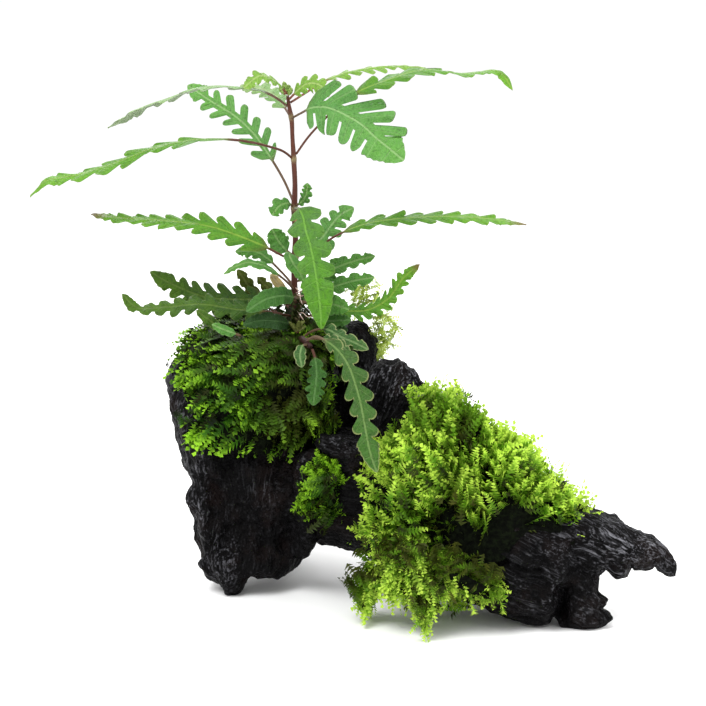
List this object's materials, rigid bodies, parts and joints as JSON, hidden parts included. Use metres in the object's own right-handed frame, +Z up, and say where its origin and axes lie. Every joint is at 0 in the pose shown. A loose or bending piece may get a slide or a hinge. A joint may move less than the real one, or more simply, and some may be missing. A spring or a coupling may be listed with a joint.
{
  "type": "hygrophila pinnatifida on driftwood",
  "caption": "Stem plant with lobed leaves growing from black driftwood with cushions of feathery moss.",
  "frame": {"origin": "centre of the bounding box at ground level, under the bridge between stump and right foot", "axes": "+X to the right along the wood as seen from the front, +Y to the back, +Z up"},
  "size_m": [0.2484, 0.1266, 0.2086],
  "materials": {
    "black_wood": "satin",
    "moss_dark": "matte",
    "moss_bright": "matte",
    "stem": "satin",
    "leaf_lime": "satin",
    "leaf_bright": "satin",
    "leaf_mid": "satin",
    "leaf_dark": "satin",
    "leaf_olive": "satin",
    "leaf_dry": "matte"
  },
  "bodies": {
    "root": {"creeping_stem": "stem", "crown_bud": "leaf_lime", "driftwood_arm": "black_wood", "driftwood_back_root": "black_wood", "driftwood_heel": "black_wood", "driftwood_knob": "black_wood", "driftwood_peak": "black_wood", "driftwood_stump": "black_wood", "driftwood_trunk": "black_wood", "leaf_back_left_lobed": "leaf_mid", "leaf_base_behind": "leaf_dark", "leaf_base_right_dark": "leaf_dark", "leaf_before_stem": "leaf_mid", "leaf_behind_right": "leaf_mid", "leaf_big_right_front": "leaf_mid", "leaf_crown_left": "leaf_lime", "leaf_crown_right": "leaf_lime", "leaf_dark_below_left": "leaf_dark", "leaf_dark_hanging": "leaf_dark", "leaf_dry": "leaf_dry", "leaf_far_left_low": "leaf_mid", "leaf_far_left_small": "leaf_dark", "leaf_front_hanging": "leaf_bright", "leaf_left_pale_under": "leaf_mid", "leaf_long_hanging": "leaf_bright", "leaf_long_left": "leaf_bright", "leaf_long_left_middle": "leaf_bright", "leaf_long_right": "leaf_bright", "leaf_long_right_middle": "leaf_bright", "leaf_lower_left_lower": "leaf_dark", "leaf_lower_left_upper": "leaf_dark", "leaf_narrow_left": "leaf_mid", "leaf_node_left_small": "leaf_mid", "leaf_node_right_small": "leaf_mid", "leaf_olive_curl": "leaf_olive", "leaf_olive_left": "leaf_olive", "leaf_oval_front_left": "leaf_dark", "leaf_pale_left_back": "leaf_lime", "leaf_right_back_curly": "leaf_mid", "leaf_right_low_small": "leaf_dark", "leaf_right_lower_long": "leaf_dark", "leaf_right_middle_small": "leaf_mid", "leaf_right_upper_small": "leaf_mid", "leaf_round_left": "leaf_mid", "leaf_round_right": "leaf_mid", "leaf_small_hanging": "leaf_mid", "leaf_top_left_far": "leaf_lime", "leaf_top_right_back": "leaf_lime", "leaf_variegated": "leaf_mid", "leaf_variegated_small": "leaf_mid", "main_stem": "stem", "moss_curtain_right": "moss_bright", "moss_cushion_right": "moss_bright", "moss_mat_left": "moss_dark", "moss_patch_centre": "moss_dark", "moss_tuft_back": "moss_bright", "plantlet": "leaf_olive"}
  },
  "joints": []
}
